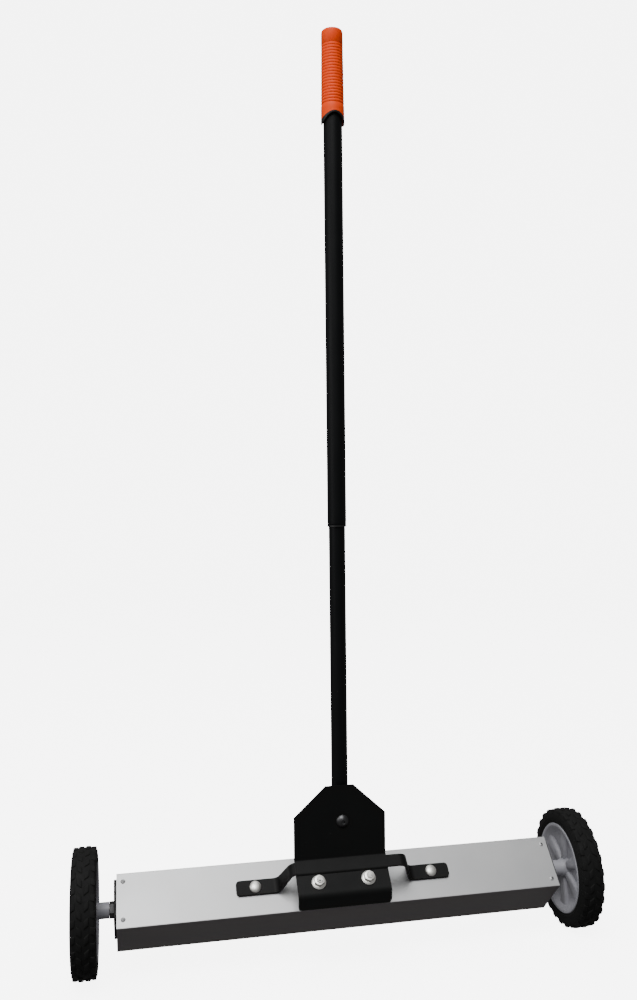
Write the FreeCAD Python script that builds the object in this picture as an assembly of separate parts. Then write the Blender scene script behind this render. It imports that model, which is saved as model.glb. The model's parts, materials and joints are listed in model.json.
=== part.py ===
import FreeCAD, Part
import math
import os

# Rolling magnetic sweeper: a magnet box on two wheels, pushed with a telescopic handle.
# Millimetres. +Z runs up the handle, +X along the axle, +Y away from the user.
# The origin is on the ground, at the middle of the whole sweeper's footprint.

Vector = FreeCAD.Vector

# ---------------------------------------------------------------- driving dimensions
# Magnet box, an extruded channel that opens downwards
box_length = 610.0
box_width = 73.0
box_height = 77.0
box_wall = 2.0
box_corner = 1.2
lip_width = 8.0
tray_thickness = 2.0

# Magnet pack that lies on the tray
magnet_length = 90.0
magnet_gap = 2.0
magnet_end_room = 25.0
magnet_width = 38.0
magnet_height = 25.0
pole_thickness = 8.0
backing_thickness = 4.0
pack_screw_size = 5.0
pack_screw_head = 9.0
pack_screw_columns = 3

# End caps and the rivets that hold them
cap_thickness = 2.0
cap_tab_length = 16.0
cap_clearance = 0.2
rivet_size = 3.2
rivet_head = 6.5
rivet_head_height = 1.6
rivet_tail = 1.5
rivet_inset = 8.5
rivet_spacing = 50.0
axle_plate_thickness = 3.5
axle_plate_width = 55.0
axle_plate_height = 68.0
axle_plate_corner = 5.0

# Wheels and axle bolts
wheel_radius = 83.0
tyre_width = 33.8
tyre_shoulder = 6.0
tyre_crown_inset = 1.0
tyre_foot_inset = 1.5
tyre_side_curve = 20.0
bead_radius = 58.0
bead_width = 24.0
rim_radius = 62.6
rim_wall = 3.2
rim_edge = 1.0
rim_seat_round = 2.0
web_thickness = 4.0
web_inset = 12.0
rib_count = 6
rib_thickness = 4.0
rib_inset = 5.0
hub_radius = 10.5
hub_root_radius = 18.0
hub_reach = 14.5
hub_recess = 16.0
hub_root_fillet = 6.0
hub_edge = 1.0
hub_outer_step = 2.0
moulding_overlap = 0.5
bush_wall = 2.0
axle_size = 12.0
axle_rise = 38.0
axle_back = 5.0
axle_nut_flats = 19.0
axle_tip_chamfer = 1.0
jam_nut_height = 6.0
lock_nut_height = 11.0
lock_nut_flats = 18.0
lock_collar_radius = 8.2
lock_collar_height = 2.75
axle_washer_radius = 12.0
axle_washer_thickness = 2.0
axle_head_height = 7.5
thread_end = 1.5

# Bridge strap over the box
strap_width = 20.0
strap_bridge_width = 16.0
strap_thickness = 4.0
strap_height = 46.0
strap_top_half = 77.0
strap_foot_start = 91.0
strap_foot_end = 148.5
strap_corner = 5.0
strap_bend = 8.0
foot_bolt_place = 122.8
foot_bolt_size = 8.0
foot_bolt_head = 16.0
foot_bolt_head_height = 4.4
nut_flats = 13.0
nut_height = 6.5

# Handle plate, bent from sheet and clamped round the strap
tilt = 45.0
clamp_offset = -11.2
plate_width = 125.0
plate_thickness = 3.0
plate_rise = 96.5
plate_chamfer_across = 44.0
plate_chamfer_up = 40.0
plate_bend = 3.0
fold_behind_strap = 1.0
joggle_drop = 2.0
joggle_gap = 0.4
joggle_bend = 0.4
joggle_run = 1.2
flange_front = 36.0
nose_drop = 13.0
nose_run = 12.0
nose_bend = 8.0
nose_corner = 5.0
clamp_plate_width = 100.0
clamp_bolt_size = 8.0
clamp_bolt_spacing = 67.2
clamp_bolt_gap = 9.6
clamp_bolt_head_height = 5.3
clamp_tip_chamfer = 0.8
clamp_nut_flange = 9.6
clamp_nut_skirt = 8.2
clamp_nut_skirt_height = 1.8
clamp_nut_height = 8.0

# Handle tubes, twist lock and grip
tube_offset = 3.6
tube_radius = 11.1
tube_wall = 1.2
tube_start = 10.0
plug_length = 14.0
plug_collar = 2.0
saddle_wall = 2.5
saddle_reach = 5.5
saddle_start = 14.0
saddle_length = 74.0
handle_bolt_rise = 48.0
handle_bolt_size = 8.0
handle_bolt_head = 17.5
handle_bolt_head_height = 4.6
socket_flats = 5.0
socket_depth = 2.6
handle_washer_radius = 8.0
handle_washer_thickness = 1.6
guide_gap = 0.6
outer_wall = 1.1
outer_start = 444.0
outer_length = 663.3
tube_overlap = 120.0
bush_length = 40.0
bush_lip = 2.0
lock_ring_length = 24.0
lock_ring_slot = 2.0
spindle_radius = 5.0
spindle_plug_length = 25.0
spindle_collar = 3.0
spindle_rim = 2.5
grip_length = 127.5
grip_bottom_wall = 3.2
grip_top_wall = 1.8
grip_end = 4.0
grip_end_round = 5.0
grip_mouth_round = 2.0

# Clearances
running = 0.05
sliding = 0.08
axial = 0.3
hole_clearance = 0.25

# ---------------------------------------------------------------- places worked out from them
half_box = box_length / 2
axle_height = -box_height + axle_rise
magnet_step = magnet_length + magnet_gap
magnet_count = int((box_length + magnet_gap - 2 * magnet_end_room) // magnet_step)
pack_length = magnet_count * magnet_step - magnet_gap
tray_bottom = -box_height + box_wall
tray_top = tray_bottom + tray_thickness
backing_bottom = tray_top + magnet_height
strap_under = strap_height - strap_thickness
fold_y = strap_width / 2 + fold_behind_strap
bridge_front = strap_width / 2 - strap_bridge_width
clamp_bolt_y = bridge_front - clamp_bolt_gap - clamp_bolt_size / 2
axle_bore = axle_size / 2 + running
bush_radius = axle_bore + bush_wall
outer_inside = tube_radius + guide_gap
outer_radius = outer_inside + outer_wall
wheel_inner = axle_plate_thickness + jam_nut_height + axial + hub_reach
tube_y = plate_thickness + saddle_wall + tube_radius
tube_top = outer_start + tube_overlap
outer_top = outer_start + outer_length
grip_start = outer_top + grip_end - grip_length
spindle_top = tube_top + spindle_collar
spare = 5.0


def turned(y, z):
    """Turn a point of the box's own side view to where it lies with the handle upright."""
    angle = math.radians(tilt)
    across = y - axle_back
    above = z - axle_height
    turned_y = across * math.cos(angle) - above * math.sin(angle)
    turned_z = across * math.sin(angle) + above * math.cos(angle)
    return turned_y, turned_z + wheel_radius


# The nose bend of the handle plate reaches furthest forwards and the tyres furthest back.
flange_middle = strap_height + plate_thickness / 2 - joggle_drop
nose_turn = math.atan2(nose_drop, nose_run)
nose_tangent = (nose_bend + plate_thickness / 2) * math.tan(nose_turn / 2)
nose_centre = turned(-flange_front + nose_tangent, flange_middle - nose_bend - plate_thickness / 2)
front_reach = nose_centre[0] - nose_bend - plate_thickness
footprint_shift = -(front_reach + wheel_radius) / 2

# The front of the handle plate's leg meets the top of its band in this corner.
fold_corner_y = fold_y - plate_thickness / 2 * math.tan(math.radians(tilt / 2))
fold_corner = turned(fold_corner_y, strap_height + plate_thickness)
tube_x = clamp_offset + tube_offset


def stand_box(shape):
    """Carry a shape from the box's own frame (bracket face at z = 0) to the sweeper's frame."""
    placed = shape.copy()
    placed.translate(Vector(0, -axle_back, -axle_height))
    placed.rotate(Vector(0, 0, 0), Vector(1, 0, 0), tilt)
    placed.translate(Vector(0, footprint_shift, wheel_radius))
    return placed


def stand_handle(shape):
    """Carry a shape from the handle's frame (fold corner at 0, z up the tube)."""
    placed = shape.copy()
    placed.translate(Vector(tube_x, fold_corner[0] + footprint_shift, fold_corner[1]))
    return placed


def stand_wheel(shape, side):
    """Carry a shape from a wheel's frame (x outwards from the box's end, on the axle)."""
    placed = shape.copy()
    placed.translate(Vector(half_box, 0, 0))
    if side == "left":
        placed = placed.mirror(Vector(0, 0, 0), Vector(1, 0, 0))
    placed.translate(Vector(0, footprint_shift, wheel_radius))
    return placed


# ---------------------------------------------------------------- shape helpers
PLANES = {
    "xy": (Vector(1, 0, 0), Vector(0, 1, 0), Vector(0, 0, 1)),
    "yz": (Vector(0, 1, 0), Vector(0, 0, 1), Vector(1, 0, 0)),
    "xz": (Vector(1, 0, 0), Vector(0, 0, 1), Vector(0, 1, 0)),
}


def outline_wire(corners, plane):
    """Make a closed wire from (u, v, radius) corners, each rounded with a tangent arc."""
    first, second, _ = PLANES[plane]
    points = [first * u + second * v for u, v, _ in corners]
    edges = []
    ends = []
    for index, (_, _, radius) in enumerate(corners):
        corner = points[index]
        back = (points[index - 1] - corner).normalize()
        ahead = (points[(index + 1) % len(points)] - corner).normalize()
        if radius == 0:
            ends.append((corner, corner))
            continue
        half = back.getAngle(ahead) / 2
        start = corner + back * (radius / math.tan(half))
        finish = corner + ahead * (radius / math.tan(half))
        bisector = (back + ahead).normalize()
        middle = corner + bisector * (radius / math.sin(half) - radius)
        ends.append((start, finish))
        edges.append(Part.Arc(start, middle, finish).toShape())
    for index, (_, finish) in enumerate(ends):
        start = ends[(index + 1) % len(ends)][0]
        if (start - finish).Length > 1e-6:
            edges.append(Part.makeLine(finish, start))
    return Part.Wire(Part.__sortEdges__(edges))


def prism(corners, plane, length, start=None):
    """Extrude a rounded outline; it is centred on the plane unless a start is given."""
    normal = PLANES[plane][2]
    wire = outline_wire(corners, plane)
    wire.translate(normal * (-length / 2 if start is None else start))
    return Part.Face(wire).extrude(normal * length)


def block(low, high):
    """Make a box from its lowest and highest corners."""
    size = [top - bottom for bottom, top in zip(low, high)]
    return Part.makeBox(*size, Vector(*low))


def rod(radius, length, start, axis):
    """Make a cylinder from a start point along an axis."""
    return Part.makeCylinder(radius, length, Vector(*start), Vector(*axis))


def ring(outer, inner, length, start, axis):
    """Make a plain sleeve or washer."""
    return rod(outer, length, start, axis).cut(rod(inner, length, start, axis))


def hexagon(across_flats, length, start, axis):
    """Make a hexagonal bar along an axis, one flat square to the frame."""
    corner = across_flats / math.sqrt(3)
    points = []
    for step in range(7):
        angle = math.radians(60 * step + 30)
        points.append(Vector(corner * math.cos(angle), corner * math.sin(angle), 0))
    bar = Part.Face(Part.makePolygon(points)).extrude(Vector(0, 0, length))
    bar.Placement = FreeCAD.Placement(
        Vector(*start), FreeCAD.Rotation(Vector(0, 0, 1), Vector(*axis))
    )
    return bar


def dome(radius, height, start, axis):
    """Make a shallow dome head, flat at the start and crowned along the axis."""
    sphere_radius = (radius ** 2 + height ** 2) / (2 * height)
    centre = Vector(0, 0, height - sphere_radius)
    ball = Part.makeSphere(sphere_radius, centre)
    cap = ball.common(Part.makeCylinder(radius * 1.5, height))
    cap.Placement = FreeCAD.Placement(
        Vector(*start), FreeCAD.Rotation(Vector(0, 0, 1), Vector(*axis))
    )
    return cap


def spin_profile(corners):
    """Turn a closed (x, radius, corner radius) outline about the X axis."""
    wire = outline_wire(corners, "xy")
    return Part.Face(wire).revolve(Vector(0, 0, 0), Vector(1, 0, 0), 360)


def bent_strip(path, bends, thickness, plane, width):
    """Make a bent strip from its mid-line; each inside bend has the radius given for it."""
    lines = []
    for first, second in zip(path, path[1:]):
        length = math.hypot(second[0] - first[0], second[1] - first[1])
        lines.append(((second[0] - first[0]) / length, (second[1] - first[1]) / length))
    sides = {1: [], -1: []}
    for index, (u, v) in enumerate(path):
        before = lines[max(index - 1, 0)]
        after = lines[min(index, len(lines) - 1)]
        turn = before[0] * after[1] - before[1] * after[0]
        square_u = -(before[1] + after[1])
        square_v = before[0] + after[0]
        scale = thickness / (1 + before[0] * after[0] + before[1] * after[1]) / 2
        inside = 0 if index in (0, len(path) - 1) else bends[index - 1]
        for side in (1, -1):
            radius = 0 if inside == 0 else inside + (0 if turn * side > 0 else thickness)
            sides[side].append((u + side * square_u * scale, v + side * square_v * scale, radius))
    return prism(sides[1] + sides[-1][::-1], plane, width)


def group(shapes):
    """Keep several separate solids as one shape."""
    return Part.makeCompound(shapes)


def mirrored_x(shape):
    """Give the same shape on the other side of the box's middle."""
    return shape.mirror(Vector(0, 0, 0), Vector(1, 0, 0))


# ---------------------------------------------------------------- magnet box
def make_housing_shell():
    """Extruded aluminium channel with two inward lips along its open side."""
    half = box_width / 2
    inner = half - box_wall
    lip = half - lip_width
    shell = prism(
        [
            (-half, 0, box_corner),
            (half, 0, box_corner),
            (half, -box_height, box_corner),
            (lip, -box_height, 0),
            (lip, tray_bottom, 0),
            (inner, tray_bottom, 0),
            (inner, -box_wall, 0),
            (-inner, -box_wall, 0),
            (-inner, tray_bottom, 0),
            (-lip, tray_bottom, 0),
            (-lip, -box_height, 0),
            (-half, -box_height, box_corner),
        ],
        "yz",
        box_length,
    )
    for x, y in rivet_places():
        shell = shell.cut(rod(rivet_size / 2, box_wall, (x, y, -box_wall), (0, 0, 1)))
    hole = foot_bolt_size / 2 + hole_clearance
    for x in (-foot_bolt_place, foot_bolt_place):
        shell = shell.cut(rod(hole, box_wall, (x, 0, -box_wall), (0, 0, 1)))
    return shell


def rivet_places():
    """Give the rivets' places along and across the bracket face."""
    along = half_box - rivet_inset
    return [(x, y) for x in (-along, along) for y in (-rivet_spacing / 2, rivet_spacing / 2)]


def pack_screw_places():
    """Give the places of the screws that hold the magnet pack to the tray."""
    across = (magnet_width + pole_thickness) / 2
    step = (pack_length - magnet_length) / (pack_screw_columns - 1)
    columns = [step * (number - (pack_screw_columns - 1) / 2) for number in range(pack_screw_columns)]
    return [(x, y) for x in columns for y in (-across, across)]


def make_base_tray():
    """Flat cover that slides in along the lips and carries the magnets."""
    half = box_width / 2 - box_wall - cap_clearance
    tray = block((-half_box, -half, tray_bottom), (half_box, half, tray_top))
    for x, y in rivet_places():
        tray = tray.cut(rod(rivet_size / 2, tray_thickness, (x, y, tray_bottom), (0, 0, 1)))
    for x, y in pack_screw_places():
        tray = tray.cut(rod(pack_screw_size / 2, tray_thickness, (x, y, tray_bottom), (0, 0, 1)))
    return tray


def make_magnets():
    """Row of ferrite blocks standing on the tray."""
    blocks = []
    for number in range(magnet_count):
        start = -pack_length / 2 + number * magnet_step
        low = (start, -magnet_width / 2, tray_top)
        high = (start + magnet_length, magnet_width / 2, backing_bottom)
        blocks.append(block(low, high))
    return group(blocks)


def make_pole_bars():
    """Two steel bars that lead the field down both sides of the magnets."""
    bars = []
    for side in (-1, 1):
        middle = side * (magnet_width + pole_thickness) / 2
        low = (-pack_length / 2, middle - pole_thickness / 2, tray_top)
        high = (pack_length / 2, middle + pole_thickness / 2, backing_bottom)
        bars.append(block(low, high))
    for x, y in pack_screw_places():
        drill = rod(pack_screw_size / 2, magnet_height, (x, y, tray_top), (0, 0, 1))
        bars = [bar.cut(drill) for bar in bars]
    return group(bars)


def make_backing_plate():
    """Steel plate that closes the magnetic circuit above the magnets."""
    half = magnet_width / 2 + pole_thickness
    return block(
        (-pack_length / 2, -half, backing_bottom),
        (pack_length / 2, half, backing_bottom + backing_thickness),
    )


def make_pack_screws():
    """Pan-head screws from below the tray into the pole bars."""
    screws = []
    head_height = box_wall - axial
    for x, y in pack_screw_places():
        head = dome(pack_screw_head / 2, head_height, (x, y, tray_bottom), (0, 0, -1))
        reach = tray_thickness + magnet_height - axial
        shank = rod(pack_screw_size / 2, reach, (x, y, tray_bottom), (0, 0, 1))
        screws.append(head.fuse(shank))
    return group(screws)


def make_end_cap(side):
    """Pressed pan that closes one end of the channel, with a riveted tab top and bottom."""
    half = box_width / 2 - box_wall - cap_clearance
    top = -box_wall
    wall = block((half_box - cap_thickness, -half, tray_top), (half_box, half, top))
    tab_start = half_box - cap_thickness - cap_tab_length
    upper = block((tab_start, -half, top - cap_thickness), (half_box, half, top))
    lower = block((tab_start, -half, tray_top), (half_box, half, tray_top + cap_thickness))
    cap = wall.fuse([upper, lower]).removeSplitter()
    start = (half_box - cap_thickness, axle_back, axle_height)
    cap = cap.cut(rod(axle_size / 2, cap_thickness, start, (1, 0, 0)))
    for x, y in rivet_places():
        if x > 0:
            cap = cap.cut(rod(rivet_size / 2, cap_thickness, (x, y, top - cap_thickness), (0, 0, 1)))
            cap = cap.cut(rod(rivet_size / 2, cap_thickness, (x, y, tray_top), (0, 0, 1)))
    return mirrored_x(cap) if side == "left" else cap


def make_cap_rivets():
    """Blind rivets through the bracket face and through the tray into the end caps."""
    rivets = []
    for x, y in rivet_places():
        grip = box_wall + cap_thickness + rivet_tail
        upper = rod(rivet_size / 2, grip, (x, y, 0), (0, 0, -1))
        rivets.append(upper.fuse(dome(rivet_head / 2, rivet_head_height, (x, y, 0), (0, 0, 1))))
        grip = tray_thickness + cap_thickness + rivet_tail
        lower = rod(rivet_size / 2, grip, (x, y, tray_bottom), (0, 0, 1))
        head = dome(rivet_head / 2, rivet_head_height, (x, y, tray_bottom), (0, 0, -1))
        rivets.append(lower.fuse(head))
    return group(rivets)


# ---------------------------------------------------------------- axles and wheels, x outwards
def make_axle_plate():
    """Steel plate outside the box's end that stiffens it round the axle bolt."""
    half_width = axle_plate_width / 2
    half_height = axle_plate_height / 2
    plate = prism(
        [
            (-half_width, -half_height, axle_plate_corner),
            (half_width, -half_height, axle_plate_corner),
            (half_width, half_height, axle_plate_corner),
            (-half_width, half_height, axle_plate_corner),
        ],
        "yz",
        axle_plate_thickness,
        half_box,
    )
    plate.translate(Vector(0, axle_back, axle_height))
    hole = rod(axle_size / 2, axle_plate_thickness, (half_box, axle_back, axle_height), (1, 0, 0))
    return plate.cut(hole)


def hub_outer_face():
    """Give how far out the hub's outer face lies."""
    return wheel_inner + tyre_width - hub_recess


def make_axle_bolt():
    """Hex bolt from inside the end cap, through the wheel's bush, to the lock nut."""
    start = -cap_thickness
    end = hub_outer_face() + axial + axle_washer_thickness + lock_nut_height + thread_end
    shank = rod(axle_size / 2, end - start, (start, 0, 0), (1, 0, 0))
    head = hexagon(axle_nut_flats, axle_head_height, (start - axle_head_height, 0, 0), (1, 0, 0))
    bolt = shank.fuse(head)
    tip = [edge for edge in bolt.Edges if abs(edge.BoundBox.XMin - end) < 0.01]
    return bolt.makeChamfer(axle_tip_chamfer, tip)


def make_jam_nut():
    """Thin nut that locks the axle bolt to the axle plate."""
    start = (axle_plate_thickness, 0, 0)
    nut = hexagon(axle_nut_flats, jam_nut_height, start, (1, 0, 0))
    return nut.cut(rod(axle_size / 2, jam_nut_height, start, (1, 0, 0)))


def make_axle_washer():
    """Flat washer between the hub and the lock nut."""
    start = hub_outer_face() + axial
    return ring(axle_washer_radius, axle_size / 2, axle_washer_thickness, (start, 0, 0), (1, 0, 0))


def make_lock_nut():
    """Nylon-insert nut on the axle bolt's outer end."""
    start = hub_outer_face() + axial + axle_washer_thickness
    hex_height = lock_nut_height - lock_collar_height
    body = hexagon(lock_nut_flats, hex_height, (start, 0, 0), (1, 0, 0))
    collar = rod(lock_collar_radius, lock_collar_height, (start + hex_height, 0, 0), (1, 0, 0))
    return body.fuse(collar).cut(rod(axle_size / 2, lock_nut_height, (start, 0, 0), (1, 0, 0)))


def make_rim():
    """Moulded wheel centre: bead seat between two lips, web, ribs and a long hub."""
    inner = wheel_inner
    outer = wheel_inner + tyre_width
    lip = (tyre_width - bead_width) / 2
    seat_inside = bead_radius - rim_wall
    rim = spin_profile(
        [
            (inner + rim_edge, rim_radius, rim_edge),
            (inner + lip, rim_radius, 0),
            (inner + lip, bead_radius, 0),
            (outer - lip, bead_radius, 0),
            (outer - lip, rim_radius, 0),
            (outer - rim_edge, rim_radius, rim_edge),
            (outer - rim_edge, rim_radius - rim_wall, rim_edge),
            (outer - lip, seat_inside, rim_seat_round),
            (inner + lip, seat_inside, rim_seat_round),
            (inner + rim_edge, rim_radius - rim_wall, rim_edge),
        ]
    )
    web_start = inner + web_inset
    web_radius = seat_inside + moulding_overlap
    web = ring(web_radius, hub_radius, web_thickness, (web_start, 0, 0), (1, 0, 0))
    hub_end = hub_outer_face()
    hub = spin_profile(
        [
            (inner - hub_reach, bush_radius, 0),
            (inner - hub_reach, hub_radius, hub_edge),
            (inner, hub_radius, hub_root_fillet),
            (web_start, hub_root_radius, 0),
            (web_start + web_thickness, hub_root_radius, 0),
            (hub_end, hub_radius + hub_outer_step, 0),
            (hub_end, bush_radius, 0),
        ]
    )
    nut_room = axle_washer_radius + hub_outer_step
    ribs = []
    for number in range(rib_count):
        low = (inner + rib_inset, -rib_thickness / 2, hub_radius + hub_outer_step)
        high = (outer - rib_inset, rib_thickness / 2, web_radius)
        rib = block(low, high)
        # the rib's inner end slopes down to the hub's outer end
        slope = prism(
            [
                (hub_end, 0, 0),
                (outer, 0, 0),
                (outer, seat_inside - nut_room, 0),
                (hub_end, nut_room, 0),
            ],
            "xz",
            rib_thickness * 2,
        )
        rib = rib.cut(slope)
        rib.rotate(Vector(0, 0, 0), Vector(1, 0, 0), 360 / rib_count * number)
        ribs.append(rib)
    body = rim.fuse([web, hub] + ribs)
    return body.removeSplitter()


def make_tyre():
    """Solid tyre seated between the rim's lips."""
    inner = wheel_inner
    outer = wheel_inner + tyre_width
    lip = (tyre_width - bead_width) / 2
    wall_radius = wheel_radius - tyre_shoulder
    return spin_profile(
        [
            (inner + lip, bead_radius, 0),
            (outer - lip, bead_radius, 0),
            (outer - lip, rim_radius, 0),
            (outer - tyre_foot_inset, rim_radius, rim_edge),
            (outer, (rim_radius + wall_radius) / 2, tyre_side_curve),
            (outer - tyre_crown_inset, wheel_radius, tyre_shoulder),
            (inner + tyre_crown_inset, wheel_radius, tyre_shoulder),
            (inner, (rim_radius + wall_radius) / 2, tyre_side_curve),
            (inner + tyre_foot_inset, rim_radius, rim_edge),
            (inner + lip, rim_radius, 0),
        ]
    )


def make_hub_bush():
    """Sleeve bearing pressed into the hub."""
    start = wheel_inner - hub_reach
    length = hub_outer_face() - start
    return ring(bush_radius, axle_bore, length, (start, 0, 0), (1, 0, 0))


# ---------------------------------------------------------------- strap and handle plate
def make_bridge_strap():
    """Flat bar bent into a bridge that is narrower than its bolted feet."""
    middle = strap_thickness / 2
    top = strap_height - middle
    path = [
        (-strap_foot_end, middle),
        (-strap_foot_start, middle),
        (-strap_top_half, top),
        (strap_top_half, top),
        (strap_foot_start, middle),
        (strap_foot_end, middle),
    ]
    strap = bent_strip(path, [strap_bend] * 4, strap_thickness, "xz", strap_width)
    outline = prism(
        [
            (-strap_foot_end, -strap_width / 2, strap_corner),
            (-strap_foot_start, -strap_width / 2, strap_bend),
            (-strap_top_half, bridge_front, strap_bend),
            (strap_top_half, bridge_front, strap_bend),
            (strap_foot_start, -strap_width / 2, strap_bend),
            (strap_foot_end, -strap_width / 2, strap_corner),
            (strap_foot_end, strap_width / 2, strap_corner),
            (-strap_foot_end, strap_width / 2, strap_corner),
        ],
        "xy",
        strap_height,
        0,
    )
    strap = strap.common(outline)
    hole = foot_bolt_size / 2 + hole_clearance
    for x in (-foot_bolt_place, foot_bolt_place):
        strap = strap.cut(rod(hole, strap_thickness, (x, 0, 0), (0, 0, 1)))
    return strap


def make_foot_bolts():
    """Dome-head bolts through the strap's feet and the bracket face."""
    bolts = []
    for x in (-foot_bolt_place, foot_bolt_place):
        head = dome(foot_bolt_head / 2, foot_bolt_head_height, (x, 0, strap_thickness), (0, 0, 1))
        reach = strap_thickness + box_wall + nut_height + thread_end
        shank = rod(foot_bolt_size / 2, reach, (x, 0, strap_thickness), (0, 0, -1))
        bolts.append(head.fuse(shank))
    return group(bolts)


def make_foot_nuts():
    """Nuts inside the box under the bracket face."""
    nuts = []
    for x in (-foot_bolt_place, foot_bolt_place):
        nut = hexagon(nut_flats, nut_height, (x, 0, -box_wall), (0, 0, -1))
        nuts.append(nut.cut(rod(foot_bolt_size / 2, nut_height, (x, 0, -box_wall), (0, 0, -1))))
    return group(nuts)


def clamp_bolt_places():
    """Give the clamp bolts' places along the strap."""
    return [clamp_offset - clamp_bolt_spacing / 2, clamp_offset + clamp_bolt_spacing / 2]


def make_handle_plate():
    """Bent plate: upright leg, band over the strap, joggle, flange and turned-down nose."""
    band = strap_height + plate_thickness / 2
    lean = math.radians(tilt)
    joggle_lean = math.atan2(joggle_drop, joggle_run)
    joggle_start = bridge_front - joggle_gap - plate_thickness / 2 * math.tan(joggle_lean / 2)
    nose_y = -flange_front - nose_run
    nose_face_y = nose_y - plate_thickness / 2 * math.sin(nose_turn)
    path = [
        (fold_y + plate_rise * math.sin(lean), band + plate_rise * math.cos(lean)),
        (fold_y, band),
        (joggle_start, band),
        (joggle_start - joggle_run, flange_middle),
        (-flange_front, flange_middle),
        (nose_y, flange_middle - nose_drop),
    ]
    bends = [plate_bend, joggle_bend, joggle_bend, nose_bend]
    plate = bent_strip(path, bends, plate_thickness, "yz", plate_width)
    half = plate_width / 2
    for side in (-1, 1):
        corner = block((0, 0, 0), (nose_corner, nose_corner, box_height))
        corner = corner.cut(rod(nose_corner, box_height, (0, nose_corner, 0), (0, 0, 1)))
        corner.translate(Vector(half - nose_corner, nose_face_y, 0))
        plate = plate.cut(corner if side > 0 else mirrored_x(corner))
    plate.translate(Vector(clamp_offset, 0, 0))
    hole = clamp_bolt_size / 2 + hole_clearance
    for x in clamp_bolt_places():
        plate = plate.cut(rod(hole, box_height, (x, clamp_bolt_y, 0), (0, 0, 1)))
    plate = stand_box(plate)
    cutters = []
    slope = plate_chamfer_up / plate_chamfer_across
    through = plate_thickness + 2 * spare
    for side in (-1, 1):
        chamfer = prism(
            [
                (side * (half - plate_chamfer_across), plate_rise + spare, 0),
                (side * (half + spare), plate_rise + spare, 0),
                (side * (half + spare), plate_rise - plate_chamfer_up - slope * spare, 0),
                (side * half, plate_rise - plate_chamfer_up, 0),
                (side * (half - plate_chamfer_across), plate_rise, 0),
            ],
            "xz",
            through,
            -spare,
        )
        chamfer.translate(Vector(-tube_offset, 0, 0))
        cutters.append(chamfer)
    bolt_hole = handle_bolt_size / 2 + hole_clearance
    cutters.append(rod(bolt_hole, through, (0, -spare, handle_bolt_rise), (0, 1, 0)))
    return plate.cut([stand_handle(cutter) for cutter in cutters])


def make_clamp_plate():
    """Plate under the strap that the clamp bolts pull up, hooked behind the strap."""
    half = clamp_plate_width / 2
    front = clamp_bolt_y - clamp_nut_flange
    back = strap_width / 2 + axial
    flat = block(
        (clamp_offset - half, front, strap_under - plate_thickness),
        (clamp_offset + half, back + plate_thickness, strap_under),
    )
    hook = block(
        (clamp_offset - half, back, strap_under),
        (clamp_offset + half, back + plate_thickness, strap_under + strap_thickness / 2),
    )
    plate = flat.fuse(hook).removeSplitter()
    hole = clamp_bolt_size / 2 + hole_clearance
    for x in clamp_bolt_places():
        start = (x, clamp_bolt_y, strap_under - plate_thickness)
        plate = plate.cut(rod(hole, plate_thickness, start, (0, 0, 1)))
    return plate


def flange_top():
    """Give the height of the flange's upper face."""
    return strap_height + plate_thickness - joggle_drop


def make_clamp_bolts():
    """Hex bolts up through the clamp plate and the flange."""
    bolts = []
    start = strap_under - plate_thickness
    for x in clamp_bolt_places():
        head = hexagon(nut_flats, clamp_bolt_head_height, (x, clamp_bolt_y, start), (0, 0, -1))
        reach = flange_top() + clamp_nut_height + thread_end - start
        shank = rod(clamp_bolt_size / 2, reach, (x, clamp_bolt_y, start), (0, 0, 1))
        bolt = shank.fuse(head)
        tip = [edge for edge in bolt.Edges if abs(edge.BoundBox.ZMin - start - reach) < 0.01]
        bolts.append(bolt.makeChamfer(clamp_tip_chamfer, tip))
    return group(bolts)


def make_clamp_nuts():
    """Flange nuts on the visible side of the handle plate."""
    nuts = []
    for x in clamp_bolt_places():
        start = Vector(x, clamp_bolt_y, flange_top())
        skirt = Part.makeCone(clamp_nut_flange, clamp_nut_skirt, clamp_nut_skirt_height, start)
        nut = skirt.fuse(hexagon(nut_flats, clamp_nut_height, start, (0, 0, 1)))
        nuts.append(nut.cut(rod(clamp_bolt_size / 2, clamp_nut_height, start, (0, 0, 1))))
    return group(nuts)


# ---------------------------------------------------------------- handle, z up the tube
def make_saddle():
    """Channel welded behind the plate that stops the tube from turning on its bolt."""
    half = tube_radius + axial + saddle_wall
    depth = saddle_wall + tube_radius + saddle_reach
    front = plate_thickness
    saddle = block((-half, front, saddle_start), (half, front + depth, saddle_start + saddle_length))
    groove_half = tube_radius + axial
    groove = block(
        (-groove_half, front + saddle_wall, saddle_start),
        (groove_half, front + depth, saddle_start + saddle_length),
    )
    saddle = saddle.cut(groove)
    hole = handle_bolt_size / 2 + hole_clearance
    return saddle.cut(rod(hole, saddle_wall, (0, front, handle_bolt_rise), (0, 1, 0)))


def make_handle_bolt():
    """Button-head bolt through the plate, the saddle and the tube."""
    back = tube_y + tube_radius + handle_washer_thickness + nut_height + thread_end
    head_height = handle_bolt_head_height
    head = dome(handle_bolt_head / 2, head_height, (0, 0, handle_bolt_rise), (0, -1, 0))
    socket = hexagon(socket_flats, socket_depth, (0, -head_height, handle_bolt_rise), (0, 1, 0))
    shank = rod(handle_bolt_size / 2, back, (0, 0, handle_bolt_rise), (0, 1, 0))
    return head.fuse(shank).cut(socket)


def make_handle_washer():
    """Washer behind the tube."""
    start = (0, tube_y + tube_radius, handle_bolt_rise)
    hole = handle_bolt_size / 2
    return ring(handle_washer_radius, hole, handle_washer_thickness, start, (0, 1, 0))


def make_handle_nut():
    """Nut behind the tube."""
    start = (0, tube_y + tube_radius + handle_washer_thickness, handle_bolt_rise)
    nut = hexagon(nut_flats, nut_height, start, (0, 1, 0))
    return nut.cut(rod(handle_bolt_size / 2, nut_height, start, (0, 1, 0)))


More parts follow.
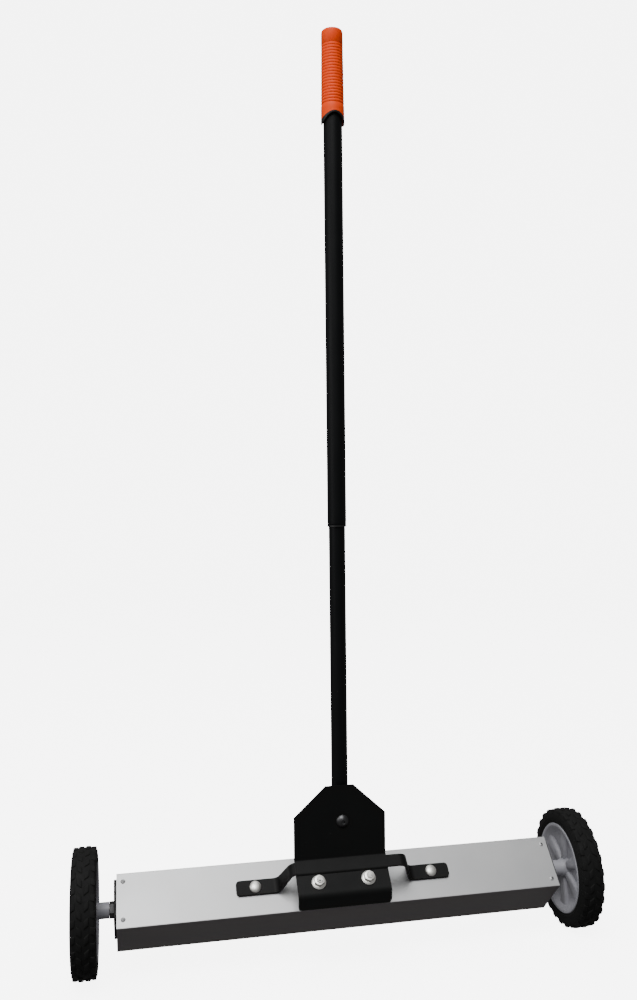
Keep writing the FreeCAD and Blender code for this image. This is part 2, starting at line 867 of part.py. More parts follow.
def make_lower_tube():
    """Inner tube of the telescope, bolted to the handle plate."""
    length = tube_top - tube_start
    tube = ring(tube_radius, tube_radius - tube_wall, length, (0, tube_y, tube_start), (0, 0, 1))
    hole = handle_bolt_size / 2 + hole_clearance
    start = (0, tube_y - tube_radius, handle_bolt_rise)
    return tube.cut(rod(hole, tube_radius * 2, start, (0, 1, 0)))


def make_tube_plug():
    """Plastic plug that closes the lower tube's bottom end."""
    collar = rod(tube_radius, plug_collar, (0, tube_y, tube_start - plug_collar), (0, 0, 1))
    plug = rod(tube_radius - tube_wall, plug_length, (0, tube_y, tube_start), (0, 0, 1))
    return collar.fuse(plug)


def make_lock_spindle():
    """Plug in the lower tube's top end with the pin that the lock ring turns on."""
    inside = tube_radius - tube_wall
    pin_length = lock_ring_length + 2 * axial
    pin_top = spindle_top + pin_length
    plug_start = (0, tube_y, tube_top - spindle_plug_length)
    plug = rod(inside, spindle_plug_length, plug_start, (0, 0, 1))
    collar = rod(tube_radius, spindle_collar, (0, tube_y, tube_top), (0, 0, 1))
    pin = rod(spindle_radius, pin_length, (0, tube_y, spindle_top), (0, 0, 1))
    end = rod(spindle_radius + spindle_rim, spindle_collar, (0, tube_y, pin_top), (0, 0, 1))
    return plug.fuse([collar, pin, end])


def make_lock_ring():
    """Split expander ring that grips the outer tube when the handle is twisted."""
    start = spindle_top + axial
    outside = outer_inside - sliding
    bore = spindle_radius + running
    body = ring(outside, bore, lock_ring_length, (0, tube_y, start), (0, 0, 1))
    slot = block(
        (0, tube_y - lock_ring_slot / 2, start),
        (outside, tube_y + lock_ring_slot / 2, start + lock_ring_length),
    )
    return body.cut(slot)


def make_outer_tube():
    """Outer tube of the telescope, which carries the grip."""
    start = (0, tube_y, outer_start)
    return ring(outer_radius, outer_inside, outer_length, start, (0, 0, 1))


def make_guide_bush():
    """Bush in the outer tube's lower end that slides on the inner tube."""
    bore = tube_radius + sliding
    sleeve = ring(outer_inside, bore, bush_length, (0, tube_y, outer_start), (0, 0, 1))
    lip = ring(outer_radius, bore, bush_lip, (0, tube_y, outer_start - bush_lip), (0, 0, 1))
    return sleeve.fuse(lip).removeSplitter()


def make_grip():
    """Tapered grip with a rounded closed end, pushed over the outer tube."""
    top = grip_start + grip_length
    profile = outline_wire(
        [
            (0, grip_start, 0),
            (outer_radius + grip_bottom_wall, grip_start, grip_mouth_round),
            (outer_radius + grip_top_wall, top, grip_end_round),
            (0, top, 0),
        ],
        "xz",
    )
    body = Part.Face(profile).revolve(Vector(0, 0, 0), Vector(0, 0, 1), 360)
    body.translate(Vector(0, tube_y, 0))
    bore = rod(outer_radius, outer_top - grip_start, (0, tube_y, grip_start), (0, 0, 1))
    return body.cut(bore)


# ---------------------------------------------------------------- the sweeper
def build_parts():
    """Make every node in the sweeper's own frame."""
    in_box = {
        "housing_shell": make_housing_shell(),
        "base_tray": make_base_tray(),
        "magnet_bars": make_magnets(),
        "pole_bars": make_pole_bars(),
        "backing_plate": make_backing_plate(),
        "pack_screws": make_pack_screws(),
        "end_cap_left": make_end_cap("left"),
        "end_cap_right": make_end_cap("right"),
        "cap_rivets": make_cap_rivets(),
        "axle_plate_left": mirrored_x(make_axle_plate()),
        "axle_plate_right": make_axle_plate(),
        "bridge_strap": make_bridge_strap(),
        "foot_bolts": make_foot_bolts(),
        "foot_nuts": make_foot_nuts(),
        "clamp_plate": make_clamp_plate(),
        "clamp_bolts": make_clamp_bolts(),
        "clamp_nuts": make_clamp_nuts(),
    }
    on_handle = {
        "handle_saddle": make_saddle(),
        "handle_bolt": make_handle_bolt(),
        "handle_washer": make_handle_washer(),
        "handle_nut": make_handle_nut(),
        "lower_tube": make_lower_tube(),
        "tube_plug": make_tube_plug(),
        "lock_spindle": make_lock_spindle(),
        "lock_ring": make_lock_ring(),
        "upper_tube": make_outer_tube(),
        "guide_bush": make_guide_bush(),
        "grip": make_grip(),
    }
    on_axle = {
        "axle_bolt": make_axle_bolt(),
        "jam_nut": make_jam_nut(),
        "axle_washer": make_axle_washer(),
        "lock_nut": make_lock_nut(),
        "rim": make_rim(),
        "tyre": make_tyre(),
        "hub_bush": make_hub_bush(),
    }
    nodes = {name: stand_box(shape) for name, shape in in_box.items()}
    nodes["handle_plate"] = make_handle_plate()
    nodes.update({name: stand_handle(shape) for name, shape in on_handle.items()})
    for side in ("left", "right"):
        for name, shape in on_axle.items():
            nodes[name + "_" + side] = stand_wheel(shape, side)
    return nodes


os.makedirs("parts", exist_ok=True)
sweeper = build_parts()
for name, shape in sorted(sweeper.items()):
    shape.exportStep(os.path.join("parts", name + ".step"))

whole = Part.makeCompound(list(sweeper.values())).BoundBox
print("nodes", len(sweeper))
print("size", round(whole.XLength, 1), round(whole.YLength, 1), round(whole.ZLength, 1))
print("axle at y", round(footprint_shift, 3), "z", wheel_radius)
axis_y = fold_corner[0] + footprint_shift + tube_y
print("tube axis at x", round(tube_x, 3), "y", round(axis_y, 3))
drop = outer_start - plate_rise
print("fold corner at z", round(fold_corner[1], 3), "outer tube can drop", round(drop, 1))
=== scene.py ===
import json
import math

import bmesh
import bpy
from mathutils import Matrix, Vector

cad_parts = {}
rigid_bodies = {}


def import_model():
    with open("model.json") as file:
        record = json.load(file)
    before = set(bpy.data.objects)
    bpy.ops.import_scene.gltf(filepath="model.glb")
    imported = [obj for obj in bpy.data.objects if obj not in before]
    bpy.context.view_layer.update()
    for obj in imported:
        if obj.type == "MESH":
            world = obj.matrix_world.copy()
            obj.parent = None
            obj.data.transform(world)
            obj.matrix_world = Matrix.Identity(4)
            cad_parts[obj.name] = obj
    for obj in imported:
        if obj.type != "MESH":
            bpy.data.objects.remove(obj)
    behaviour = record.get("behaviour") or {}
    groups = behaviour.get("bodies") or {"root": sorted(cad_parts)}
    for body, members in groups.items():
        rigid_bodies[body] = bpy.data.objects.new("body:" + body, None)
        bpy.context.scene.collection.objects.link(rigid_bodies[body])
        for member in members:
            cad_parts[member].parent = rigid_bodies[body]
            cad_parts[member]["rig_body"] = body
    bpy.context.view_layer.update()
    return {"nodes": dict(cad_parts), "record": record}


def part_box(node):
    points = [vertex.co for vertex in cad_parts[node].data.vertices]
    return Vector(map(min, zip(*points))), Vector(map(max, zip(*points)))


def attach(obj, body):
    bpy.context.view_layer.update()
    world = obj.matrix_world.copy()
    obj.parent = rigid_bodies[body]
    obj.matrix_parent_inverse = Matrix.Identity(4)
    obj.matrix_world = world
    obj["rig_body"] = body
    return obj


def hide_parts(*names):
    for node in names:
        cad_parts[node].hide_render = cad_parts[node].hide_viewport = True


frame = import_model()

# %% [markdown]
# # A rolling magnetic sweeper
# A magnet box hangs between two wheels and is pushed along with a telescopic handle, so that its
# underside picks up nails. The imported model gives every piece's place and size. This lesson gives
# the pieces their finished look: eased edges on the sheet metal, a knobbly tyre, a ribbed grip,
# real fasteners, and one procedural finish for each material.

MM = 0.001
nodes = frame["nodes"]

# %% [markdown]
# ## Where things are
# The wheels turn about one axle line, the tubes share one upright line, and the magnet box hangs
# turned by 45 degrees about the axle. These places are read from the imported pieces. Sizes that
# only the finished look has, such as the dome of a bolt head, are given where a piece is made.

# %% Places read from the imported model


def middle(node):
    """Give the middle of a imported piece's box."""
    low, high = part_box(node)
    return (low + high) / 2


def span(node):
    """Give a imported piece's size along each axis."""
    low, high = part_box(node)
    return high - low


axle = middle("tyre_right")
axle.x = 0
tube_line = middle("lower_tube")
box_turn = Matrix.Rotation(math.radians(45), 4, "X")
box_middle = middle("housing_shell")
box_across = box_turn @ Vector((0, 1, 0))
box_up = box_turn @ Vector((0, 0, 1))
print("axle", tuple(round(v, 4) for v in axle), "tube line", tuple(round(v, 4) for v in tube_line))

# %% [markdown]
# ## How a finish is made
# Every finish starts from a Principled shader with the colour, roughness and index of refraction
# that the real material has. Patterns read Object coordinates, which are metres here, so a
# pattern's scale is one over its real size. One function adds any node: what is given as an
# input is linked if it is another node's output, and is set as a value if it isn't.

# %% Helpers for finishes


def linear(hex_colour):
    """Turn an sRGB hex colour into the linear values that shaders use."""
    channels = [int(hex_colour[start:start + 2], 16) / 255 for start in (1, 3, 5)]
    curved = [c / 12.92 if c <= 0.04045 else ((c + 0.055) / 1.055) ** 2.4 for c in channels]
    return (*curved, 1.0)


def add_node(tree, kind, inputs=None, **settings):
    """Add one node with its settings, and link or set its inputs by name or number."""
    node = tree.nodes.new(kind)
    for name, value in settings.items():
        setattr(node, name, value)
    for name, value in (inputs or {}).items():
        if isinstance(value, bpy.types.NodeSocket):
            tree.links.new(value, node.inputs[name])
        else:
            node.inputs[name].default_value = value
    return node


def start_finish(name, hex_colour, roughness, metallic=0.0, ior=1.5):
    """Make a material and give it back with its tree, its shader and the Object coordinates."""
    material = bpy.data.materials.new(name)
    material.use_nodes = True
    tree = material.node_tree
    shader = tree.nodes["Principled BSDF"]
    shader.inputs["Base Color"].default_value = linear(hex_colour)
    shader.inputs["Roughness"].default_value = roughness
    shader.inputs["Metallic"].default_value = metallic
    shader.inputs["IOR"].default_value = ior
    position = add_node(tree, "ShaderNodeTexCoord").outputs["Object"]
    return material, tree, shader, position


def vary_roughness(tree, shader, pattern, low, high):
    """Let a pattern move the roughness between two values."""
    spread = add_node(
        tree, "ShaderNodeMapRange", {"Value": pattern, "To Min": low, "To Max": high}
    )
    tree.links.new(spread.outputs["Result"], shader.inputs["Roughness"])


def vary_colour(tree, shader, pattern, first, second):
    """Let a pattern move the colour between two hex colours."""
    # a Mix node keeps sockets for every kind of data: 6 and 7 are its colours, 2 is their result
    colours = {0: pattern, 6: linear(first), 7: linear(second)}
    mix = add_node(tree, "ShaderNodeMix", data_type="RGBA", inputs=colours)
    tree.links.new(mix.outputs[2], shader.inputs["Base Color"])


def emboss(tree, shader, pattern, height_mm, strength=1.0):
    """Let a pattern raise the surface by a real height."""
    bump = add_node(
        tree,
        "ShaderNodeBump",
        {"Height": pattern, "Distance": height_mm * MM, "Strength": strength},
    )
    tree.links.new(bump.outputs["Normal"], shader.inputs["Normal"])


def per_metre(size_mm):
    """Give the texture scale that makes a pattern's features the size given."""
    return 1 / (size_mm * MM)


finishes = {}

# %% [markdown]
# ## Aluminium, satin anodised
# The bracket face of the box is extruded aluminium, etched and anodised: a soft grey sheen with
# faint drawing lines along its length. Noise that is stretched along X gives the lines; they are
# drawn 0.6 mm apart, a little coarser than real ones, so that they show at all.

# %% Satin anodised aluminium
material, tree, shader, position = start_finish("satin anodised aluminium", "#C6C6C7", 0.50, 0.85)
stretched = add_node(tree, "ShaderNodeMapping", {"Vector": position, "Scale": (0.004, 1, 1)})
lines = add_node(
    tree,
    "ShaderNodeTexNoise",
    {"Vector": stretched.outputs["Vector"], "Scale": per_metre(0.6), "Detail": 2.0},
)
cloud = add_node(
    tree, "ShaderNodeTexNoise", {"Vector": position, "Scale": per_metre(70), "Detail": 3.0}
)
vary_roughness(tree, shader, cloud.outputs["Fac"], 0.44, 0.58)
vary_colour(tree, shader, cloud.outputs["Fac"], "#BEBFC1", "#CDCDCC")
emboss(tree, shader, lines.outputs["Fac"], 0.02, 0.5)
finishes["satin_aluminium"] = material
print("finish", material.name)

# %% [markdown]
# The box's front and back walls take a charcoal grey: painted shade and painted dark reflection,
# which is why they look so much darker than the bracket face. The paint is satin, with the same
# extrusion lines under it.

# %% Painted shade in charcoal on the box's side walls
# a charcoal grey as painted shade and painted dark reflection on the box's walls
material, tree, shader, position = start_finish("charcoal painted shade", "#5A5455", 0.5)
stretched = add_node(tree, "ShaderNodeMapping", {"Vector": position, "Scale": (0.004, 1, 1)})
lines = add_node(
    tree,
    "ShaderNodeTexNoise",
    {"Vector": stretched.outputs["Vector"], "Scale": per_metre(0.8), "Detail": 2.0},
)
cloud = add_node(
    tree, "ShaderNodeTexNoise", {"Vector": position, "Scale": per_metre(45), "Detail": 3.0}
)
vary_roughness(tree, shader, cloud.outputs["Fac"], 0.42, 0.58)
vary_colour(tree, shader, cloud.outputs["Fac"], "#555051", "#605A5B")
emboss(tree, shader, lines.outputs["Fac"], 0.015, 0.4)
wall_shade_paint = material
print("finish", material.name)

# %% [markdown]
# ## Black powder coat
# The strap and the handle plate are steel with a baked powder coat. It isn't mirror smooth:
# it has a shallow orange peel about a millimetre across, and its sheen drifts a little over a
# few centimetres.

# %% Black powder coat
material, tree, shader, position = start_finish("black powder coat", "#050505", 0.6)
peel = add_node(
    tree, "ShaderNodeTexNoise", {"Vector": position, "Scale": per_metre(1.2), "Detail": 2.0}
)
cloud = add_node(
    tree, "ShaderNodeTexNoise", {"Vector": position, "Scale": per_metre(30), "Detail": 4.0}
)
vary_roughness(tree, shader, cloud.outputs["Fac"], 0.52, 0.68)
vary_colour(tree, shader, cloud.outputs["Fac"], "#040404", "#070707")
shader.inputs["Specular IOR Level"].default_value = 0.22
emboss(tree, shader, peel.outputs["Fac"], 0.06, 0.6)
finishes["black_powder_coat"] = material
print("finish", material.name)

# %% [markdown]
# The tubes have a thinner, glossier paint, so the light runs down them in one long narrow
# highlight. Their drawing lines run along Z.

# %% Semi-gloss black paint on the tubes
material, tree, shader, position = start_finish("semi-gloss black paint", "#050608", 0.42)
stretched = add_node(tree, "ShaderNodeMapping", {"Vector": position, "Scale": (1, 1, 0.01)})
lines = add_node(
    tree,
    "ShaderNodeTexNoise",
    {"Vector": stretched.outputs["Vector"], "Scale": per_metre(1.0), "Detail": 2.0},
)
cloud = add_node(
    tree, "ShaderNodeTexNoise", {"Vector": position, "Scale": per_metre(40), "Detail": 3.0}
)
vary_roughness(tree, shader, cloud.outputs["Fac"], 0.42, 0.56)
vary_colour(tree, shader, cloud.outputs["Fac"], "#040506", "#08090B")
shader.inputs["Specular IOR Level"].default_value = 0.18
emboss(tree, shader, lines.outputs["Fac"], 0.02, 0.4)
finishes["black_tube_coat"] = material
print("finish", material.name)

# %% [markdown]
# ## Plated and plain steel
# Bright zinc plate is a light, slightly warm metal with a fine mottle. Oiled dark steel and
# mill-finish steel have a mottle too, darker or coarser, so one loop makes all three from their
# colours, roughness and mottle size.

# %% Metals
metals = {
    "zinc_plate": ("bright zinc plate", "#F6F5F0", "#EAE9E3", 0.38, 0.52, 1.5),
    "dark_steel": ("dark oiled steel", "#5C5C5D", "#464647", 0.34, 0.50, 2.0),
    "raw_steel": ("mill-finish steel", "#9A9B9D", "#7E7F82", 0.35, 0.55, 6.0),
}
for slot, (name, light, dark, smooth, rough, mottle_mm) in metals.items():
    material, tree, shader, position = start_finish(name, light, smooth, 1.0)
    mottle = add_node(
        tree,
        "ShaderNodeTexNoise",
        {"Vector": position, "Scale": per_metre(mottle_mm), "Detail": 3.0},
    )
    vary_roughness(tree, shader, mottle.outputs["Fac"], smooth, rough)
    vary_colour(tree, shader, mottle.outputs["Fac"], light, dark)
    emboss(tree, shader, mottle.outputs["Fac"], 0.01, 0.3)
    finishes[slot] = material
    print("finish", name)

# %% [markdown]
# ## Plastics, rubber and ferrite
# Moulded plastic takes the grain of its mould: a fine bump about half a millimetre across.
# Rubber is rougher and hardly shines. The orange grip is soft vinyl, which lets a trace of
# light in under its surface.

# %% Plastics, rubber and ferrite
moulded = {
    "grey_plastic": ("grey moulded plastic", "#A9A9AF", "#9B9BA2", 0.38, 0.52, 0.4, 12),
    "black_plastic": ("black moulded plastic", "#151515", "#0E0E0E", 0.40, 0.55, 0.4, 12),
    "tyre_rubber": ("black tyre rubber", "#0B0B0B", "#070707", 0.72, 0.90, 0.7, 9),
    "grip_plastic": ("orange moulded vinyl", "#FF4C00", "#FB4600", 0.45, 0.58, 0.5, 15),
    "ferrite": ("sintered ferrite", "#2C2C30", "#222226", 0.55, 0.75, 0.6, 8),
}
for slot, (name, light, dark, smooth, rough, grain_mm, cloud_mm) in moulded.items():
    material, tree, shader, position = start_finish(name, light, smooth, ior=1.49)
    grain = add_node(
        tree,
        "ShaderNodeTexNoise",
        {"Vector": position, "Scale": per_metre(grain_mm), "Detail": 2.0},
    )
    cloud = add_node(
        tree,
        "ShaderNodeTexNoise",
        {"Vector": position, "Scale": per_metre(cloud_mm), "Detail": 4.0},
    )
    vary_roughness(tree, shader, cloud.outputs["Fac"], smooth, rough)
    vary_colour(tree, shader, cloud.outputs["Fac"], light, dark)
    emboss(tree, shader, grain.outputs["Fac"], 0.03, 0.5)
    finishes[slot] = material
    print("finish", name)

rubber = finishes["tyre_rubber"].node_tree.nodes["Principled BSDF"]
rubber.inputs["Specular IOR Level"].default_value = 0.3
vinyl = finishes["grip_plastic"].node_tree.nodes["Principled BSDF"]
vinyl.inputs["Subsurface Weight"].default_value = 0.05
vinyl.inputs["Specular IOR Level"].default_value = 0.2
vinyl.inputs["Subsurface Radius"].default_value = (0.004, 0.001, 0.0005)

# %% [markdown]
# ## How a piece is made
# A round piece is spun: a few points of its side view turn about Z into a closed shell. A bent
# sheet-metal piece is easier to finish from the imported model's own shape: a copy of it is merged
# into clean faces, and its sharp edges are rounded, because real edges always catch some light.

# %% Helpers for pieces
sharp_angle = 30
flat_angle = 0.5
merge_gap = 0.005 * MM


def sharp_edges(bm):
    """Give the edges where two faces meet at more than the sharp angle."""
    limit = math.radians(sharp_angle)
    return [e for e in bm.edges if len(e.link_faces) == 2 and e.calc_face_angle() > limit]


def ease(bm, width_mm, segments=2):
    """Round the sharp edges of a mesh."""
    bmesh.ops.bevel(
        bm,
        geom=sharp_edges(bm),
        offset=width_mm * MM,
        offset_type="OFFSET",
        segments=segments,
        profile=0.5,
        affect="EDGES",
        clamp_overlap=True,
        material=-1,
    )


def spun(profile, steps, closed=False):
    """Spin (radius, height) points in mm about Z; a closed profile makes a ring."""
    bm = bmesh.new()
    verts = [bm.verts.new((radius * MM, 0, height * MM)) for radius, height in profile]
    pairs = list(zip(verts, verts[1:]))
    if closed:
        pairs.append((verts[-1], verts[0]))
    edges = [bm.edges.new(pair) for pair in pairs]
    bmesh.ops.spin(
        bm,
        geom=verts + edges,
        cent=(0, 0, 0),
        axis=(0, 0, 1),
        steps=steps,
        angle=math.tau,
        use_merge=True,
        use_duplicate=False,
    )
    bmesh.ops.remove_doubles(bm, verts=bm.verts, dist=merge_gap)
    bmesh.ops.recalc_face_normals(bm, faces=bm.faces)
    return bm


def join_into(target, source, place=None):
    """Add one bmesh to another, moved to its place, and free it."""
    if place is not None:
        bmesh.ops.transform(source, matrix=place, verts=source.verts)
    carrier = bpy.data.meshes.new("carrier")
    source.to_mesh(carrier)
    source.free()
    target.from_mesh(carrier)
    bpy.data.meshes.remove(carrier)


def finish_piece(bm, name, body, slot, stands_for=(), extra=(), smooth_below=32, flat_faces=False):
    """Turn a bmesh into a piece with its finish, riding on a body."""
    mesh = bpy.data.meshes.new(name)
    bm.to_mesh(mesh)
    bm.free()
    mesh.shade_smooth()
    mesh.set_sharp_from_angle(angle=math.radians(smooth_below))
    for material in (finishes[slot], *extra):
        mesh.materials.append(material)
    piece = bpy.data.objects.new(name, mesh)
    bpy.context.scene.collection.objects.link(piece)
    if flat_faces:
        weights = piece.modifiers.new("flat faces stay flat", "WEIGHTED_NORMAL")
        weights.weight = 100
        weights.keep_sharp = True
    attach(piece, body)
    if stands_for:
        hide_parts(*stands_for)
    print(name, len(mesh.polygons), "faces")
    return piece


def eased_copy(node, width_mm, slot, extra=(), paint=None):
    """Finish a sheet-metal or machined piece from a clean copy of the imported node."""
    bm = bmesh.new()
    bm.from_mesh(nodes[node].data)
    bmesh.ops.remove_doubles(bm, verts=bm.verts, dist=merge_gap)
    flat = math.radians(flat_angle)
    bmesh.ops.dissolve_limit(bm, angle_limit=flat, verts=bm.verts, edges=bm.edges)
    ease(bm, width_mm)
    if paint is not None:
        paint(bm)
    return finish_piece(
        bm,
        node + "_finished",
        nodes[node]["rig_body"],
        slot,
        [node],
        extra,
        smooth_below=47,
        flat_faces=True,
    )


# %% [markdown]
# ## The magnet box
# The channel keeps its two finishes on one mesh: faces that look along the box's own up
# direction are the anodised bracket face, and its outer walls take the charcoal painted shade.

# %% Channel, end caps and axle plates
# a face takes the charcoal painted shade if it lies close to the outside and looks sideways
wall_depth = 1.0
sideways = 0.6


def paint_wall_shade(bm):
    """Give the outer side walls the second finish, the charcoal painted shade."""
    half_width = max(abs((v.co - box_middle).dot(box_across)) for v in bm.verts)
    for face in bm.faces:
        offset = (face.calc_center_median() - box_middle).dot(box_across)
        outside = abs(offset) > half_width - wall_depth * MM
        if outside and abs(face.normal.dot(box_up)) < sideways:
            face.material_index = 1


# the outer walls of the channel get the charcoal grey as painted shade
eased_copy("housing_shell", 0.35, "satin_aluminium", [wall_shade_paint], paint_wall_shade)
for side in ("left", "right"):
    eased_copy("end_cap_" + side, 0.3, "black_powder_coat")
    eased_copy("axle_plate_" + side, 0.5, "black_powder_coat")

# %% [markdown]
# ## Strap and handle plate
# Both are bent from flat stock. Sheared and punched edges keep a small radius, so they show as a
# thin bright line along the black paint.

# %% Strap, handle plate, clamp plate and saddle
eased_copy("bridge_strap", 0.7, "black_powder_coat")
eased_copy("handle_plate", 0.6, "black_powder_coat")
eased_copy("clamp_plate", 0.5, "black_powder_coat")
eased_copy("handle_saddle", 0.5, "black_powder_coat")

# %% [markdown]
# ## Fasteners
# Small bright fasteners are what the eye picks out on a black bracket. Dome heads are spun, with
# a thin washer face under the dome. A nut is a six-sided bar whose corners are taken off, on a
# spun flange, with the end of its bolt showing. Its thread is drawn as rings 1.25 mm apart,
# because a helix that fine can't be told from rings.

# %% Dome heads, rivets and flange nuts
box_height = 77.0
strap_thickness = 4.0
foot_bolt_x = 122.8
foot_dome_radius = 8.0
foot_dome_height = 4.3
washer_face = 0.6
rivet_x = 296.5
rivet_across = 25.0
pin_radius = 1.1
pin_foot = 1.0
pin_top = 1.75
clamp_nut_spacing = 67.2
clamp_nut_across = -19.6
clamp_flange_top = 47.0
clamp_nut_height = 8.0
clamp_nut_flats = 12.8
clamp_nut_corner_cut = 1.3
bolt_end_radius = 3.9
bolt_end_length = 3.0
bolt_sunk = 1.5


def on_bracket_face(x_mm, across_mm, up_mm):
    """Give the placement of a fastener that stands above the box's bracket face."""
    above = (box_height / 2 + up_mm) * MM
    start = box_middle + box_up * above + box_across * (across_mm * MM)
    return Matrix.Translation((x_mm * MM, start.y, start.z)) @ box_turn


def dome_head(radius, height):
    """Spin a dome head on a thin washer face."""
    crown = []
    for step in range(7):
        angle = math.radians(90 * step / 6)
        rise = washer_face + (height - washer_face) * math.sin(angle)
        crown.append((radius * math.cos(angle), rise))
    return spun([(0, 0), (radius, 0)] + crown, 32)


def thread_end(radius, length):
    """Spin the end of a bolt with its thread as rings and a chamfered tip."""
    pitch = 1.25
    depth = 0.6
    profile = [(0, 0), (radius - depth, 0)]
    for turn in range(int(length / pitch)):
        profile.append((radius, (turn + 0.5) * pitch))
        profile.append((radius - depth, (turn + 1) * pitch))
    profile += [(radius - depth, length), (0, length)]
    return spun(profile, 24)


def hex_bar(across_flats, height, corner_cut):
    """Make a nut's six-sided body with the corners of both faces taken off."""
    bm = bmesh.new()
    radius = across_flats / math.sqrt(3) * MM
    bmesh.ops.create_cone(
        bm, cap_ends=True, segments=6, radius1=radius, radius2=radius, depth=height * MM
    )
    bmesh.ops.translate(bm, verts=bm.verts, vec=(0, 0, height / 2 * MM))
    bmesh.ops.bevel(
        bm,
        geom=list(bm.verts),
        offset=corner_cut * MM,
        offset_type="OFFSET",
        segments=1,
        profile=0.5,
        affect="VERTICES",
        clamp_overlap=True,
        material=-1,
    )
    ease(bm, 0.25)
    return bm


domes = bmesh.new()
for x in (-foot_bolt_x, foot_bolt_x):
    dome = dome_head(foot_dome_radius, foot_dome_height)
    join_into(domes, dome, on_bracket_face(x, 0, strap_thickness))
finish_piece(domes, "foot_bolt_domes", "housing", "zinc_plate", ["foot_bolts"])

# each blind rivet keeps the end of its steel pin in the middle of its aluminium head
eased_copy("cap_rivets", 0.25, "satin_aluminium")
pins = bmesh.new()
for x in (-rivet_x, rivet_x):
    for across in (-rivet_across, rivet_across):
        profile = [(0, pin_foot), (pin_radius, pin_foot), (pin_radius, pin_top), (0, pin_top)]
        pin = spun(profile, 16)
        join_into(pins, pin, on_bracket_face(x, across, 0))
finish_piece(pins, "rivet_pins", "housing", "dark_steel")

clamp_nuts = bmesh.new()
bolt_ends = bmesh.new()
nut_low, nut_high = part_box("clamp_nuts")
plate_middle = (nut_low.x + nut_high.x) / 2 / MM
for x in (plate_middle - clamp_nut_spacing / 2, plate_middle + clamp_nut_spacing / 2):
    seat = on_bracket_face(x, clamp_nut_across, clamp_flange_top)
    flange = spun([(0, 0), (9.5, 0), (9.5, 0.9), (8.2, 1.8), (6.6, 2.3), (0, 2.3)], 32)
    join_into(clamp_nuts, flange, seat)
    join_into(clamp_nuts, hex_bar(clamp_nut_flats, clamp_nut_height, clamp_nut_corner_cut), seat)
    bolt_start = clamp_flange_top + clamp_nut_height - bolt_sunk
    bolt_end = thread_end(bolt_end_radius, bolt_end_length)
    join_into(bolt_ends, bolt_end, on_bracket_face(x, clamp_nut_across, bolt_start))
finish_piece(clamp_nuts, "clamp_flange_nuts", "housing", "zinc_plate", ["clamp_nuts"])
finish_piece(bolt_ends, "clamp_bolt_ends", "housing", "zinc_plate")

for node in ("clamp_bolts", "handle_bolt", "handle_nut", "handle_washer"):
    slot = "dark_steel" if node == "handle_bolt" else "zinc_plate"
    eased_copy(node, 0.3, slot)
for side in ("left", "right"):
    eased_copy("jam_nut_" + side, 0.4, "dark_steel")
    eased_copy("lock_nut_" + side, 0.4, "zinc_plate")
    eased_copy("axle_bolt_" + side, 0.3, "zinc_plate")
    eased_copy("axle_washer_" + side, 0.3, "zinc_plate")

# %% [markdown]
# ## Wheels
# The wheel's centre is one plastic moulding: a rim, a web with ribs and a long hub. It is spun,
# and the ribs are eased blocks that run from the hub to the rim. The tyre is spun as well, and
# its tread is built from separate blocks in staggered rows, as the mould for a knobbly tyre is.

# %% Wheel centres


def wheel_place(side):
    """Turn a wheel made about Z so that its outer face looks away from the box."""
    tyre_middle = middle("tyre_" + side)
    turn = math.radians(90 if side == "right" else -90)
    return Matrix.Translation(tyre_middle) @ Matrix.Rotation(turn, 4, "Y")


half_tyre = 16.9
rib_count = 6
rib_length = 45.0
rib_width = 19.0
rib_start = 11.5
rib_crown_share = 0.72
rib_flare = 0.014
rib_rounding = 2.8
web_sides = (
    # lowest and highest level of a rib, and the way that its free side looks
    (-10.2, -3.5, -1),
    (-3.0, 4.0, 1),
)


def wheel_centre():
    """Make a wheel centre with its outer face up, its middle plane at z = 0."""
    body = spun(
        [
            # the long hub that points at the box
            (8.1, -half_tyre - 14.5),
            (10.5, -half_tyre - 14.5),
            (10.5, -half_tyre + 1),
            (12.0, -half_tyre + 6),
            # the web and the sloping barrel
            (17.5, -4.9),
            (30, -4.7),
            (42, -4.9),
            (48, -6.0),
            (51.5, -8.2),
            (57.6, -half_tyre + 1.6),
            # the inner edge, the tyre's seat and the outer edge
            (58.4, -half_tyre + 0.9),
            (59.4, -half_tyre + 0.6),
            (61.8, -half_tyre + 0.6),
            (62.6, -half_tyre + 1.6),
            (62.6, -12),
            (58, -12),
            (58, 12),
            (62.6, 12),
            (62.6, half_tyre - 1.6),
            (61.8, half_tyre - 0.6),
            (59.2, half_tyre - 0.6),
            (58.8, half_tyre - 1.2),
            # the outer barrel, the web and the short end of the hub
            (55.5, 11),
            (54, 3),
            (52, -0.4),
            (44, -1.4),
            (17.5, -1.4),
            (13.5, 0.9),
            (8.1, 0.9),
        ],
        96,
        closed=True,
    )
    for number in range(rib_count):
        for low, high, free_side in web_sides:
            rib = bmesh.new()
            bmesh.ops.create_cube(rib, size=1)
            size = Vector((rib_length, rib_width, high - low)) * MM
            bmesh.ops.scale(rib, vec=size, verts=rib.verts)
            crown = [v for v in rib.verts if v.co.z * free_side > 0]
            bmesh.ops.scale(rib, vec=(1, rib_crown_share, 1), verts=crown)
            for vert in rib.verts:
                vert.co.y *= 1.0 + rib_flare * vert.co.x / MM
            ease(rib, rib_rounding, 4)
            start = Vector((rib_start + rib_length / 2, 0, (low + high) / 2)) * MM
            turn = Matrix.Rotation(math.tau * number / rib_count, 4, "Z")
            join_into(body, rib, turn @ Matrix.Translation(start))
    return body


# %% Tyres


def carcass():
    """Spin the tyre without its tread blocks."""
    half_profile = [(58.1, 11.9), (62.8, 11.9), (63.0, 15.4), (64.2, 16.3), (67.5, 16.7)]
    half_profile += [(68.2, 16.3), (68.9, 16.7), (73, 16.5), (77.5, 15.6), (80.2, 13.4)]
    half_profile.append((81.3, 9.0))
    other_half = [(radius, -height) for radius, height in reversed(half_profile)]
    return spun(half_profile + [(81.6, 0)] + other_half, 128, closed=True)


